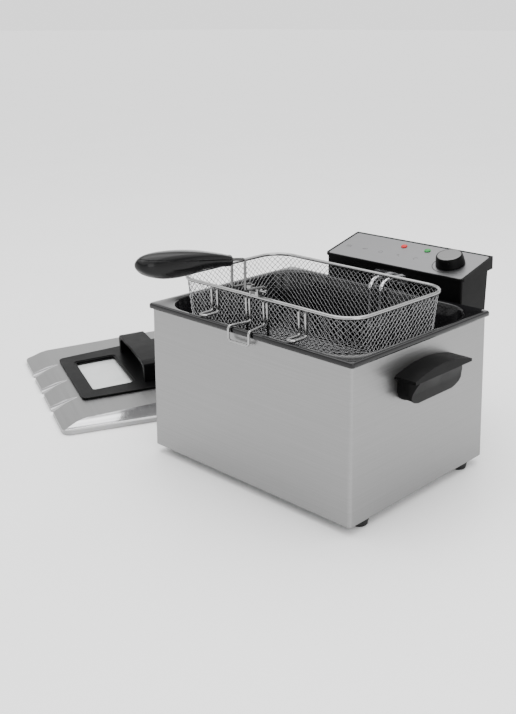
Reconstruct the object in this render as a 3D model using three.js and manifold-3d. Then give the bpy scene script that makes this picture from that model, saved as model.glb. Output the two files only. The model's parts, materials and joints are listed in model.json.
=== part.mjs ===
// A family-size deep fryer as an assembly of separate parts.
// Millimetres. X runs to the right along the front, Y to the back, Z up from the table.
// The steel casing holds a lift-out enamelled oil pan. A control head with the heating
// element hangs behind the casing, the wire basket hangs in its draining position on the
// front rim of the pan, and the lid lies on the table to the left.

import * as THREE from 'three';
import Module from 'manifold-3d';
import { mergeVertices } from 'three/addons/utils/BufferGeometryUtils.js';

const wasm = await Module();
wasm.setup();

// ---------------------------------------------------------------- dimensions

const GAP = 0.3; // clearance between parts that touch in the real object

const CASE_W = 340;
const CASE_D = 268.9;
const CASE_Z0 = 11;
const CASE_Z1 = 199.2;
const CASE_R = 5;
const SHEET = 1.2;
const CASE_BACK = CASE_D / 2;

const FOOT_X = 156;
const FOOT_Y = 101;
const FOOT_R = 12;

const RIM_X = 174;
const RIM_Y = 138;
const RIM_Z = 206;
const RIM_H = 6.4;
const RIM_R = 4.8;
const RIM_WALL = 1.7;
const POT_X = 164;
const POT_Y = 128;
const POT_R = 52;
const POT_FLOOR = 62;
const ENAMEL = 1.6;

const BASKET_Y0 = -108.5;
const BASKET_Y1 = 80.5;
const BASKET_X = 148.5;
const BASKET_RIM_Z = 241;
const BASKET_RIM_R = 2.5;
const BASKET_FLOOR = 136;
const BASKET_CORNER = 31;
const BASKET_WALL = 1.6;
const BASKET_TAPER = 0.068;

const HOOK_X = 75;
const HOOK_HALF = 5.2;
const HOOK_WIRE = 1.9;

const PIVOT_Y = -111;
const PIVOT_Z = 251.5;
const PIVOT_R = 2;
const ROD_X = 11.2;
const ROD_R = 1.75;
const ROD_Y = -139.7;
const CURL_R = 4.5;

const ROD_END_Y = -226;

// The grip's side view: its upper line from the basket end to the tip, and the lower line back.
const GRIP_TOP = [
  [-160, 303.4], [-180, 308.8], [-204, 314.6], [-232, 319.6], [-258, 322.2], [-276, 321.4], [-286, 317.4],
];
const GRIP_TIP = [-288.6, 312.6];
const GRIP_BELOW = [
  [-286.4, 305.6], [-278, 298.9], [-262, 293.2], [-236, 290],
  [-212, 291.7], [-190, 292.8], [-172, 289.8], [-160, 289.6],
];
const GRIP_W = 34;
const GRIP_EDGE = 6.4;
const GRIP_SCREW_Y = -238;
const SEAM_Y = -150;
const SEAM_Z = 297.2;
const SEAM_SLOPE = 0.16;

const HEAD_X = 120;
const HEAD_CASE_X = 117.5;
const HEAD_FRONT = 155;
const HEAD_BOTTOM = 110;
const HEAD_WALL = 2.5;
const PANEL_Y = 154.9;
const PANEL_Z = 233.2;
const PANEL_TILT = THREE.MathUtils.degToRad(14.9);
const PANEL_X = 116.2;
const PANEL_LONG = 71.5;
const COVER_BACK = 230.5;

const KNOB_X = 78;
const KNOB_S = 33;
const KNOB_R = 20.5;
const KNOB_TOP_R = 18.2;
const KNOB_H = 15;
const SHAFT_BORE = 3.9;
const LIGHT_S = 57;
const LIGHT_XS = [-18, 23];
const LIGHT_R = 4.7;

const ELEMENT_R = 3.2;
const LEG_X = 9.2;
const LEG_Y = 121;
const LEG_Z = 217;
const LOOP_Z = 75;

const RESET_X = -62;
const RESET_Z = 186;
const GLAND_X = 84;
const GLAND_Z = 128;

const LID_W = 339;
const LID_D = 262;
const LID_X = -455.1;
const LID_Y = -125.7;
const LID_TURN = THREE.MathUtils.degToRad(-23.4);
const LID_SHEET = 1.3;
const LID_RIM = 6;
const CROWN_Y = 34;
const CROWN_Z = 18.5;
const CROWN_TILT = THREE.MathUtils.degToRad(3.2);
const FRAME_T = 3;

// ---------------------------------------------------------------- materials

function material(color, roughness, metalness) {
  return new THREE.MeshStandardMaterial({ color, roughness, metalness });
}

const brushedSteel = () => material(0xa9a9a8, 0.38, 0.9);
const panelSteel = () => material(0xa3a4a4, 0.45, 0.85);
const polishedSteel = () => material(0xc4c5c6, 0.16, 1.0);
const chromeWire = () => material(0xc9c9c9, 0.12, 1.0);
const zincSteel = () => material(0x9d9f9f, 0.5, 0.9);
const enamel = () => material(0x0b0b0c, 0.12, 0.0);
const blackPlastic = () => material(0x191919, 0.42, 0.0);
const glossPlastic = () => material(0x101010, 0.18, 0.0);
const innerPlastic = () => material(0xd9d4c6, 0.5, 0.0);
const rubber = () => material(0x141414, 0.8, 0.0);

// ---------------------------------------------------------------- solid helpers

function signedVolume(position, index) {
  const a = new THREE.Vector3();
  const b = new THREE.Vector3();
  const c = new THREE.Vector3();
  let volume = 0;
  for (let i = 0; i < index.count; i += 3) {
    a.fromBufferAttribute(position, index.getX(i));
    b.fromBufferAttribute(position, index.getX(i + 1));
    c.fromBufferAttribute(position, index.getX(i + 2));
    volume += a.dot(b.cross(c)) / 6;
  }
  return volume;
}

function solid(geometry) {
  const plain = geometry.clone();
  plain.deleteAttribute('normal');
  plain.deleteAttribute('uv');
  const merged = mergeVertices(plain, 1e-4);
  const triangles = Uint32Array.from(merged.index.array);
  if (signedVolume(merged.attributes.position, merged.index) < 0) {
    for (let i = 0; i < triangles.length; i += 3) {
      const keep = triangles[i + 1];
      triangles[i + 1] = triangles[i + 2];
      triangles[i + 2] = keep;
    }
  }
  const mesh = new wasm.Mesh({
    numProp: 3,
    vertProperties: Float32Array.from(merged.attributes.position.array),
    triVerts: triangles,
  });
  return new wasm.Manifold(mesh);
}

function toGeometry(body) {
  const mesh = body.getMesh();
  const geometry = new THREE.BufferGeometry();
  geometry.setAttribute('position', new THREE.BufferAttribute(mesh.vertProperties.slice(), 3));
  geometry.setIndex(new THREE.BufferAttribute(mesh.triVerts.slice(), 1));
  geometry.computeVertexNormals();
  return geometry;
}

function join(...bodies) {
  return bodies.reduce((sum, body) => sum.add(body));
}

function cut(body, ...tools) {
  return tools.reduce((rest, tool) => rest.subtract(tool), body);
}

function box(x0, x1, y0, y1, z0, z1) {
  const geometry = new THREE.BoxGeometry(x1 - x0, y1 - y0, z1 - z0);
  geometry.translate((x0 + x1) / 2, (y0 + y1) / 2, (z0 + z1) / 2);
  return solid(geometry);
}

function roundedOutline(x0, x1, y0, y1, radius, steps = 6) {
  const corners = [
    [x1 - radius, y1 - radius, 0],
    [x0 + radius, y1 - radius, 1],
    [x0 + radius, y0 + radius, 2],
    [x1 - radius, y0 + radius, 3],
  ];
  const points = [];
  for (const [cx, cy, quarter] of corners) {
    for (let i = 0; i <= steps; i += 1) {
      const angle = (quarter + i / steps) * Math.PI / 2;
      points.push(new THREE.Vector2(cx + radius * Math.cos(angle), cy + radius * Math.sin(angle)));
    }
  }
  return points;
}

function outline(pairs) {
  return pairs.map(([u, v]) => new THREE.Vector2(u, v));
}

function extrudeZ(points, z0, z1) {
  const geometry = new THREE.ExtrudeGeometry(new THREE.Shape(points), {
    depth: z1 - z0,
    bevelEnabled: false,
  });
  geometry.translate(0, 0, z0);
  return geometry;
}

function plate(x0, x1, y0, y1, z0, z1, radius, steps = 6) {
  return solid(extrudeZ(roundedOutline(x0, x1, y0, y1, radius, steps), z0, z1));
}

// A profile drawn in (y, z), pulled along X.
function alongX(points, x0, x1) {
  const geometry = extrudeZ(points, x0, x1);
  geometry.applyMatrix4(new THREE.Matrix4().set(0, 0, 1, 0, 1, 0, 0, 0, 0, 1, 0, 0, 0, 0, 0, 1));
  return solid(geometry);
}

// A profile drawn in (x, z), pulled along Y.
function alongY(points, y0, y1) {
  const geometry = extrudeZ(points, -y1, -y0);
  geometry.applyMatrix4(new THREE.Matrix4().set(1, 0, 0, 0, 0, 0, -1, 0, 0, 1, 0, 0, 0, 0, 0, 1));
  return solid(geometry);
}

function cylinder(axis, radius, from, to, u, v, sides = 20) {
  const geometry = new THREE.CylinderGeometry(radius, radius, to - from, sides);
  geometry.translate(0, (from + to) / 2, 0);
  if (axis === 'z') {
    geometry.rotateX(Math.PI / 2);
    geometry.translate(u, v, 0);
  } else if (axis === 'y') {
    geometry.translate(u, 0, v);
  } else {
    geometry.rotateZ(-Math.PI / 2);
    geometry.translate(0, u, v);
  }
  return solid(geometry);
}

// A dish with rounded bottom edges and walls that lean in towards the floor.
function dish(x, y0, y1, radius, floor, top, edge, taper, steps = 6) {
  const mid = (y0 + y1) / 2;
  const half = (y1 - y0) / 2;
  const shape = new THREE.Shape(roundedOutline(-x, x, -half, half, radius, steps));
  const geometry = new THREE.ExtrudeGeometry(shape, {
    depth: top - floor,
    bevelEnabled: true,
    bevelThickness: edge,
    bevelSize: edge,
    bevelOffset: -edge,
    bevelSegments: 3,
  });
  geometry.translate(0, 0, floor + edge);
  const position = geometry.attributes.position;
  for (let i = 0; i < position.count; i += 1) {
    const scale = 1 - taper * (top - position.getZ(i)) / (top - floor);
    position.setXY(i, position.getX(i) * scale, position.getY(i) * scale + mid);
  }
  const reach = x * 2;
  return cut(solid(geometry), box(-reach, reach, -reach, reach, top, top + 4 * edge + 10));
}

// ---------------------------------------------------------------- wire helpers

class WirePath extends THREE.Curve {
  constructor(points) {
    super();
    this.points = points;
  }

  getPoint(t, target = new THREE.Vector3()) {
    return target.copy(this.points[Math.round(t * (this.points.length - 1))]);
  }

  getPointAt(t, target) {
    return this.getPoint(t, target);
  }

  getTangent(t, target = new THREE.Vector3()) {
    const last = this.points.length - 1;
    const i = Math.round(t * last);
    const here = this.points[i];
    const before = this.points[Math.max(i - 1, 0)];
    const after = this.points[Math.min(i + 1, last)];
    const inward = new THREE.Vector3().subVectors(here, before).normalize();
    const outward = new THREE.Vector3().subVectors(after, here).normalize();
    return target.addVectors(inward, outward).normalize();
  }

  getTangentAt(t, target) {
    return this.getTangent(t, target);
  }
}

// Replaces each corner of a polyline by an arc of the given bend radius.
function bend(corners, radius, steps = 5) {
  const points = [corners[0].clone()];
  for (let i = 1; i < corners.length - 1; i += 1) {
    const here = corners[i];
    const back = new THREE.Vector3().subVectors(corners[i - 1], here).normalize();
    const ahead = new THREE.Vector3().subVectors(corners[i + 1], here).normalize();
    const half = back.angleTo(ahead) / 2;
    const run = radius / Math.tan(half);
    const centre = new THREE.Vector3().addVectors(back, ahead).normalize();
    centre.multiplyScalar(radius / Math.sin(half)).add(here);
    const start = here.clone().addScaledVector(back, run).sub(centre);
    const end = here.clone().addScaledVector(ahead, run).sub(centre);
    const sweep = start.angleTo(end);
    for (let k = 0; k <= steps; k += 1) {
      const share = k / steps;
      const point = start.clone().multiplyScalar(Math.sin((1 - share) * sweep));
      point.addScaledVector(end, Math.sin(share * sweep)).divideScalar(Math.sin(sweep));
      points.push(point.add(centre));
    }
  }
  points.push(corners[corners.length - 1].clone());
  return points;
}

function wire(points, radius, sides = 8) {
  const ring = [];
  for (let i = 0; i < sides; i += 1) {
    const angle = 2 * Math.PI * i / sides;
    ring.push(new THREE.Vector2(radius * Math.cos(angle), radius * Math.sin(angle)));
  }
  const geometry = new THREE.ExtrudeGeometry(new THREE.Shape(ring), {
    steps: points.length - 1,
    bevelEnabled: false,
    extrudePath: new WirePath(points),
  });
  return solid(geometry);
}

function at(x, y, z) {
  return new THREE.Vector3(x, y, z);
}

// The same corners again, mirrored across X = 0 and walked back.
function mirrored(corners) {
  const others = corners.map((p) => at(-p.x, p.y, p.z)).reverse();
  return [...corners, ...others];
}

// ---------------------------------------------------------------- the group

const group = new THREE.Group();
group.name = 'deep_fryer';

function add(name, body, surface) {
  const mesh = new THREE.Mesh(toGeometry(body), surface);
  mesh.name = name;
  group.add(mesh);
}

// ---------------------------------------------------------------- casing

function casingOutline(inset, radius) {
  const x = CASE_W / 2 - inset;
  const y = CASE_D / 2 - inset;
  return roundedOutline(-x, x, -y, y, radius, 5);
}

const CARRY_SCREWS = [-34, 34];
const GUIDE_SCREWS = [-40, 40];
const GUIDE_SCREW_Z = 140;
const PLATE_SCREWS = [-42, 42];
const PLATE_SCREW_Z = 160;
const CARRY_SCREW_Z = 150;
const CARRY_WALL = 2.6;
const CARRY_OUT = 200;
const CARRY_HALF = 57;
const CARRY_LOW = 134.5;
const SHELF_LOW = 165.6;
const SHELF_TOP = 178.3;
const SHELF_ARCH = 9;

// A handle is a curved shelf for the fingers with a deep cup below it, hollow from underneath.
function carryHandle(side) {
  const face = CASE_W / 2 + GAP;
  const arch = [];
  for (let i = 0; i <= 12; i += 1) {
    const share = 1 - i / 6;
    arch.push([CARRY_HALF * share, SHELF_TOP - SHELF_ARCH * share * share]);
  }
  const front = [[CARRY_HALF, SHELF_LOW], ...arch, [-CARRY_HALF, SHELF_LOW]];
  const shelf = alongX(outline(front), face, CARRY_OUT);
  const plan = roundedOutline(face - 40, 197, -53, 53, 17, 5);
  const lean = solid(extrudeZ(plan, CARRY_LOW, 166));
  const elevation = alongX(outline([
    [-52, 166], [-52, 149], [-48, 141], [-41, 136.5], [-34, CARRY_LOW],
    [34, CARRY_LOW], [41, 136.5], [48, 141], [52, 149], [52, 166],
  ]).reverse(), face, 198);
  const slope = alongY(outline([
    [face, 134], [187, 134], [190.5, 150], [197, 166.2], [face, 166.2],
  ]), -60, 60);
  const cup = lean.intersect(elevation).intersect(slope);
  const pocketPlan = solid(extrudeZ(roundedOutline(face + CARRY_WALL, 193, -47, 47, 6, 4), 130, 162));
  const pocketSlope = alongY(outline([
    [face, 130], [187 - CARRY_WALL, 130], [190 - CARRY_WALL, 149],
    [196 - CARRY_WALL, 162.2], [face, 162.2],
  ]), -60, 60);
  let body = cut(join(shelf, cup), pocketPlan.intersect(pocketSlope));
  for (const y of CARRY_SCREWS) {
    body = cut(body, cylinder('x', 1.7, face - 1, face + 3, y, CARRY_SCREW_Z, 10));
  }
  return side > 0 ? body : body.mirror([1, 0, 0]);
}

function backingStrip(side) {
  const inner = CASE_W / 2 - SHEET - GAP;
  let body = box(inner - 1.5, inner, -44, 44, 142, 158);
  for (const y of CARRY_SCREWS) {
    body = cut(body, cylinder('x', 1.9, inner - 3, inner + 1, y, CARRY_SCREW_Z, 10));
  }
  return side > 0 ? body : body.mirror([1, 0, 0]);
}

function carryScrew(side, y) {
  const inner = CASE_W / 2 - SHEET - GAP - 1.5 - GAP;
  const head = cylinder('x', 3.2, inner - 2, inner, y, CARRY_SCREW_Z, 8);
  const shank = cylinder('x', 1.4, inner - 1, CASE_W / 2 + 2.5, y, CARRY_SCREW_Z, 8);
  const body = join(head, shank);
  return side > 0 ? body : body.mirror([1, 0, 0]);
}

function housingShell() {
  const outer = solid(extrudeZ(casingOutline(0, CASE_R), CASE_Z0, CASE_Z1));
  const inner = solid(extrudeZ(casingOutline(SHEET, CASE_R - SHEET), CASE_Z0 + SHEET, CASE_Z1 - SHEET));
  const mouth = plate(-167.2, 167.2, -131.2, 131.2, CASE_Z1 - 5, CASE_Z1 + 5, 8);
  const under = plate(-152, 152, -118, 118, CASE_Z0 - 5, CASE_Z0 + 5, 6);
  let body = cut(outer, inner, mouth, under);
  for (const side of [-1, 1]) {
    for (const y of CARRY_SCREWS) {
      const from = side > 0 ? 165 : -175;
      body = cut(body, cylinder('x', 1.8, from, from + 10, y, CARRY_SCREW_Z, 10));
    }
  }
  for (const x of GUIDE_SCREWS) {
    body = cut(body, cylinder('y', 1.8, 130, 140, x, GUIDE_SCREW_Z, 10));
  }
  for (const x of [-FOOT_X, FOOT_X]) {
    for (const y of [-FOOT_Y, FOOT_Y]) {
      body = cut(body, cylinder('z', 2.6, CASE_Z0 - 2, CASE_Z0 + 3, x, y, 10));
    }
  }
  return body;
}

function basePlate() {
  const z = CASE_Z0 + SHEET + GAP;
  const x = CASE_W / 2 - 2.2;
  const y = CASE_D / 2 - 2.2;
  let body = plate(-x, x, -y, y, z, z + SHEET, 4);
  for (let row = -1; row <= 1; row += 2) {
    for (let i = -2; i <= 2; i += 1) {
      const slotX = i * 34;
      const slotY = row * 55;
      body = cut(body, plate(slotX - 4, slotX + 4, slotY - 24, slotY + 24, z - 2, z + 4, 3.8, 2));
    }
  }
  for (const footX of [-FOOT_X, FOOT_X]) {
    for (const footY of [-FOOT_Y, FOOT_Y]) {
      body = cut(body, cylinder('z', 2.6, z - 2, z + 4, footX, footY, 10));
    }
  }
  return body;
}

function foot(x, y) {
  const top = CASE_Z0 - GAP;
  const profile = outline([
    [0, 0], [9.4, 0], [10.4, 1], [11.2, 6.4], [FOOT_R, 7.2], [FOOT_R, top],
    [2.2, top], [2.2, CASE_Z0 + 5.4], [0, CASE_Z0 + 5.4],
  ]);
  const geometry = new THREE.LatheGeometry(profile, 16);
  geometry.rotateX(Math.PI / 2);
  geometry.translate(x, y, 0);
  return solid(geometry);
}

function headGuide() {
  const y0 = CASE_BACK + GAP;
  let body = join(
    box(-66, 66, y0, y0 + 3, 117, 186),
    box(-66, 66, y0 + 2, 150, 117, 120.5),
    box(-66, -58, y0 + 2, 150, 117, 186),
    box(58, 66, y0 + 2, 150, 117, 186),
    box(-59, -52, 147.2, 150, 117, 186),
    box(52, 59, 147.2, 150, 117, 186),
  );
  for (const x of GUIDE_SCREWS) {
    body = cut(body, cylinder('y', 1.6, y0 - 1, y0 + 4, x, GUIDE_SCREW_Z, 10));
  }
  return body;
}

function guideScrew(x) {
  const inner = CASE_BACK - SHEET - GAP;
  const head = cylinder('y', 3.2, inner - 2, inner, x, GUIDE_SCREW_Z, 8);
  const shank = cylinder('y', 1.3, inner - 1, CASE_BACK + GAP + 2.8, x, GUIDE_SCREW_Z, 8);
  return join(head, shank);
}

add('housing_shell', housingShell(), brushedSteel());
add('base_plate', basePlate(), zincSteel());
add('foot_front_left', foot(-FOOT_X, -FOOT_Y), rubber());
add('foot_front_right', foot(FOOT_X, -FOOT_Y), rubber());
add('foot_back_left', foot(-FOOT_X, FOOT_Y), rubber());
add('foot_back_right', foot(FOOT_X, FOOT_Y), rubber());
add('carry_handle_left', carryHandle(-1), blackPlastic());
add('carry_handle_right', carryHandle(1), blackPlastic());
add('backing_strip_left', backingStrip(-1), zincSteel());
add('backing_strip_right', backingStrip(1), zincSteel());
add('carry_screw_left_front', carryScrew(-1, CARRY_SCREWS[0]), zincSteel());
add('carry_screw_left_back', carryScrew(-1, CARRY_SCREWS[1]), zincSteel());
add('carry_screw_right_front', carryScrew(1, CARRY_SCREWS[0]), zincSteel());
add('carry_screw_right_back', carryScrew(1, CARRY_SCREWS[1]), zincSteel());
add('head_guide', headGuide(), blackPlastic());
add('guide_screw_left', guideScrew(GUIDE_SCREWS[0]), zincSteel());
add('guide_screw_right', guideScrew(GUIDE_SCREWS[1]), zincSteel());

// ---------------------------------------------------------------- oil pan

function oilPan() {
  const low = RIM_Z - RIM_H;
  const bottom = POT_FLOOR - ENAMEL;
  const wallX = POT_X + ENAMEL;
  const wallBack = POT_Y + ENAMEL;
  const outer = dish(wallX, -wallBack, wallBack, POT_R + ENAMEL, bottom, RIM_Z, 15, 0.03);
  const inner = dish(POT_X, -POT_Y, POT_Y, POT_R, POT_FLOOR, RIM_Z + 1, 14, 0.03);
  const rim = plate(-RIM_X, RIM_X, -RIM_Y, RIM_Y, low, RIM_Z, RIM_R, 4);
  const grooveX = RIM_X - RIM_WALL;
  const grooveY = RIM_Y - RIM_WALL;
  const grooveTop = RIM_Z - RIM_WALL;
  const groove = plate(-grooveX, grooveX, -grooveY, grooveY, low - 1, grooveTop, RIM_R - RIM_WALL, 4);
  let body = cut(join(cut(rim, groove), outer), inner);
  for (const z of [130, 168]) {
    const mark = box(-18, 18, -POT_Y - 1.2, -POT_Y + 4.4, z, z + 1.6);
    body = join(body, mark.intersect(inner.add(outer)));
  }
  return body;
}

add('oil_pan', oilPan(), enamel());

// ---------------------------------------------------------------- basket

function wallY(z) {
  const half = (BASKET_Y1 - BASKET_Y0) / 2;
  return BASKET_Y0 - 2 + half * BASKET_TAPER * (238.2 - z) / (238.2 - BASKET_FLOOR);
}

function basketMesh() {
  const top = BASKET_RIM_Z - BASKET_RIM_R - GAP;
  const y0 = BASKET_Y0 + GAP;
  const y1 = BASKET_Y1 - GAP;
  const t = BASKET_WALL;
  const floor = BASKET_FLOOR;
  const outer = dish(BASKET_X, y0, y1, BASKET_CORNER, floor, top, 9, BASKET_TAPER);
  const inner = dish(
    BASKET_X - t, y0 + t, y1 - t, BASKET_CORNER - t, floor + t, top + 1, 8, BASKET_TAPER,
  );
  return cut(outer, inner);
}

function basketRim() {
  const z = BASKET_RIM_Z;
  const ring = roundedOutline(-BASKET_X, BASKET_X, BASKET_Y0, BASKET_Y1, BASKET_CORNER, 6);
  const points = ring.map((p) => at(p.x, p.y, z));
  const count = points.length;
  const half = Math.floor(count / 2);
  const first = points.slice(0, half + 2);
  const second = [...points.slice(half), points[0], points[1]];
  return join(wire(first, BASKET_RIM_R), wire(second, BASKET_RIM_R));
}

function restHook(side) {
  const x = side * HOOK_X;
  const low = RIM_Z + GAP + HOOK_WIRE;
  const rise = [
    at(x + HOOK_HALF, wallY(237.6), 237.6),
    at(x + HOOK_HALF, wallY(low), low),
    at(x + HOOK_HALF, -131.2, low),
  ];
  const back = rise.map((p) => at(2 * x - p.x, p.y, p.z)).reverse();
  return wire(bend([...rise, ...back], 3.4, 4), HOOK_WIRE, 8);
}

function hangerLoop() {
  const low = RIM_Z + GAP + 2;
  const outside = -RIM_Y - 2.9;
  const side = [
    at(12, wallY(237.6), 237.6),
    at(12, wallY(low), low),
    at(17.5, outside, low),
    at(17.5, outside, 190.8),
  ];
  return wire(bend(mirrored(side), 3.6, 4), 1.7, 8);
}

function bracketLoop() {
  const side = [at(17.9, wallY(237.6), 237.6), at(17.9, wallY(190), 190)];
  return wire(bend(mirrored(side), 4, 4), 1.8, 8);
}

function pivotBracket() {
  const base = BASKET_RIM_Z + BASKET_RIM_R + GAP;
  let body = join(
    box(-7.1, 7.1, -114, -104, base, base + 1.6),
    box(5.5, 7.1, -115, -107, base, PIVOT_Z + 4.2),
    box(-7.1, -5.5, -115, -107, base, PIVOT_Z + 4.2),
  );
  body = cut(body, cylinder('x', PIVOT_R + GAP, -10, 10, PIVOT_Y, PIVOT_Z, 16));
  return body;
}

function pivotPin() {
  return cylinder('x', PIVOT_R, -18.5, 18.5, PIVOT_Y, PIVOT_Z, 16);
}

function seamZ(y) {
  return SEAM_Z + (SEAM_Y - y) * SEAM_SLOPE;
}

function handlePath() {
  const curl = [];
  for (let i = 0; i <= 5; i += 1) {
    const angle = THREE.MathUtils.degToRad(-35 + 25 * i);
    curl.push(at(ROD_X, PIVOT_Y + CURL_R * Math.cos(angle), PIVOT_Z + CURL_R * Math.sin(angle)));
  }
  const rest = [
    at(ROD_X, PIVOT_Y, PIVOT_Z + CURL_R),
    at(ROD_X, ROD_Y, PIVOT_Z + CURL_R + 1.6),
    at(ROD_X, ROD_Y, seamZ(ROD_Y)),
    at(ROD_X, ROD_END_Y, seamZ(ROD_END_Y)),
  ];
  const across = at(-ROD_X, ROD_END_Y, seamZ(ROD_END_Y));
  const run = bend([...rest, across], 4.6, 3).slice(1, -1);
  return mirrored([...curl, ...run]);
}

function curveThrough(pairs, steps) {
  return new THREE.SplineCurve(outline(pairs)).getPoints(steps);
}

function gripBlank() {
  const top = curveThrough([...GRIP_TOP, GRIP_TIP], 14);
  const below = curveThrough([GRIP_TIP, ...GRIP_BELOW], 14).slice(1);
  const geometry = new THREE.ExtrudeGeometry(new THREE.Shape([...top, ...below]), {
    depth: GRIP_W - 2 * GRIP_EDGE,
    bevelEnabled: true,
    bevelThickness: GRIP_EDGE,
    bevelSize: GRIP_EDGE * 0.72,
    bevelOffset: -GRIP_EDGE * 0.72,
    bevelSegments: 4,
  });
  geometry.translate(0, 0, -GRIP_W / 2 + GRIP_EDGE);
  geometry.applyMatrix4(new THREE.Matrix4().set(0, 0, 1, 0, 1, 0, 0, 0, 0, 1, 0, 0, 0, 0, 0, 1));
  const position = geometry.attributes.position;
  const [basketEnd] = GRIP_TOP[0];
  const [tip] = GRIP_TIP;
  for (let i = 0; i < position.count; i += 1) {
    const y = position.getY(i);
    const taper = 0.84 + 0.16 * THREE.MathUtils.smoothstep(-y, -basketEnd, 225);
    const nose = 1 - 0.42 * THREE.MathUtils.smoothstep(-y, 258, -tip);
    position.setX(i, position.getX(i) * taper * nose);
  }
  return solid(geometry);
}

function gripHalf(upper) {
  const lift = upper ? GAP / 2 : -GAP / 2;
  const far = upper ? 400 : 200;
  const keep = alongX(outline([
    [-320, seamZ(-320) + lift], [-130, seamZ(-130) + lift], [-130, far], [-320, far],
  ]), -40, 40);
  const channel = wire(handlePath(), ROD_R + GAP);
  const bore = cylinder('z', 1.7, 280, 316, 0, GRIP_SCREW_Y, 10);
  const sink = cylinder('z', 3.6, 270, 293, 0, GRIP_SCREW_Y, 10);
  return cut(gripBlank().intersect(keep), channel, bore, sink);
}

function gripScrew() {
  const head = cylinder('z', 3.2, 290.6, 292.6, 0, GRIP_SCREW_Y, 8);
  return join(head, cylinder('z', 1.4, 292, 314, 0, GRIP_SCREW_Y, 8));
}

add('basket_mesh', basketMesh(), chromeWire());
add('basket_rim', basketRim(), chromeWire());
add('rest_hook_left', restHook(-1), chromeWire());
add('rest_hook_right', restHook(1), chromeWire());
add('hanger_loop', hangerLoop(), chromeWire());
add('bracket_loop', bracketLoop(), chromeWire());
add('pivot_bracket', pivotBracket(), chromeWire());
add('pivot_pin', pivotPin(), chromeWire());
add('handle_wire', wire(handlePath(), ROD_R), chromeWire());
add('grip_upper', gripHalf(true), glossPlastic());
add('grip_lower', gripHalf(false), glossPlastic());
add('grip_screw', gripScrew(), zincSteel());

// ---------------------------------------------------------------- control head

// Moves a body built on the panel plane (x across, y up the slope, z out) into place.
function onPanel(body) {
  const degrees = THREE.MathUtils.radToDeg(PANEL_TILT);
  return body.rotate([degrees, 0, 0]).translate([0, PANEL_Y, PANEL_Z]);
}

function lipZ(y) {
  return 229.6 + (y - 153.2) * 0.078;
}

function headCover() {
  const slope = Math.tan(PANEL_TILT);
  const topZ = (y) => PANEL_Z + (y - PANEL_Y) * slope + 0.2;
  const front = 153.3;
  const outer = alongX(outline([
    [front, lipZ(front)], [COVER_BACK - 1, lipZ(COVER_BACK)], [COVER_BACK, lipZ(COVER_BACK) + 2],
    [COVER_BACK, topZ(COVER_BACK) - 2.6], [COVER_BACK - 2.6, topZ(COVER_BACK - 2.6)], [front, topZ(front)],
  ]), -HEAD_X, HEAD_X);
  const planView = plate(-HEAD_X, HEAD_X, front, COVER_BACK, 200, 280, 5, 4);
  const inFront = 158.6;
  const ledge = 214.8;
  const inBack = COVER_BACK - 3;
  const hollow = alongX(outline([
    [inFront, lipZ(inFront) - 3], [ledge, lipZ(ledge) - 3], [ledge, lipZ(ledge) + 2.4],
    [inBack, lipZ(COVER_BACK) + 2.6], [inBack, topZ(COVER_BACK) - 5.4], [inFront, topZ(inFront) - 4.2],
  ]), -HEAD_X + 5.5, HEAD_X - 5.5);
  const recess = onPanel(plate(-PANEL_X - GAP, PANEL_X + GAP, 0.4, PANEL_LONG + GAP + 0.6, -1.1, 5, 4, 4));
  const shaftHole = onPanel(cylinder('z', 6.2, -12, 5, KNOB_X, KNOB_S, 20));
  let body = cut(outer.intersect(planView), hollow, recess, shaftHole);
  for (const x of LIGHT_XS) {
    body = cut(body, onPanel(cylinder('z', LIGHT_R - 0.7, -12, 5, x, LIGHT_S, 20)));
  }
  return body;
}

function panelPlate() {
  let body = plate(-PANEL_X, PANEL_X, 0.4 + GAP, PANEL_LONG + 0.6, -0.8, 0, 3.7, 4);
  body = cut(body, cylinder('z', 5.2, -3, 3, KNOB_X, KNOB_S, 24));
  for (const x of LIGHT_XS) {
    body = cut(body, cylinder('z', LIGHT_R - 0.7, -3, 3, x, LIGHT_S, 20));
  }
  return onPanel(body);
}

function lamp(x) {
  const stem = LIGHT_R - 0.7 - GAP;
  const profile = outline([
    [0, -9], [stem, -9], [stem, GAP], [LIGHT_R, GAP],
    [LIGHT_R, 1.1], [LIGHT_R * 0.8, 1.9], [LIGHT_R * 0.42, 2.5], [0, 2.7],
  ]);
  const geometry = new THREE.LatheGeometry(profile, 16);
  geometry.rotateX(Math.PI / 2);
  geometry.translate(x, LIGHT_S, 0);
  return onPanel(solid(geometry));
}

function knobBody() {
  const seat = KNOB_TOP_R - 1.2;
  const profile = outline([
    [SHAFT_BORE, 0.6], [KNOB_R - 0.4, 0.6], [KNOB_R, 1.2], [KNOB_R - 0.2, 3],
    [KNOB_TOP_R + 0.9, 10.5], [KNOB_TOP_R + 0.3, KNOB_H - 1.2], [KNOB_TOP_R - 0.5, KNOB_H - 0.2],
    [seat, KNOB_H - 0.2], [seat, KNOB_H - 1.8], [SHAFT_BORE, KNOB_H - 1.8], [SHAFT_BORE, 0.6],
  ]);
  const geometry = new THREE.LatheGeometry(profile, 28);
  geometry.rotateX(Math.PI / 2);
  geometry.translate(KNOB_X, KNOB_S, 0);
  return onPanel(solid(geometry));
}

function knobCap() {
  const r = KNOB_TOP_R - 1.2 - GAP;
  const profile = outline([
    [0, KNOB_H - 1.5], [r, KNOB_H - 1.5], [r, KNOB_H - 0.3], [r - 0.4, KNOB_H], [0, KNOB_H],
  ]);
  const geometry = new THREE.LatheGeometry(profile, 28);
  geometry.rotateX(Math.PI / 2);
  geometry.translate(KNOB_X, KNOB_S, 0);
  return onPanel(solid(geometry));
}

function shaft() {
  return onPanel(cylinder('z', 3.5, -12.6, KNOB_H - 2.2, KNOB_X, KNOB_S, 16));
}

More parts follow.
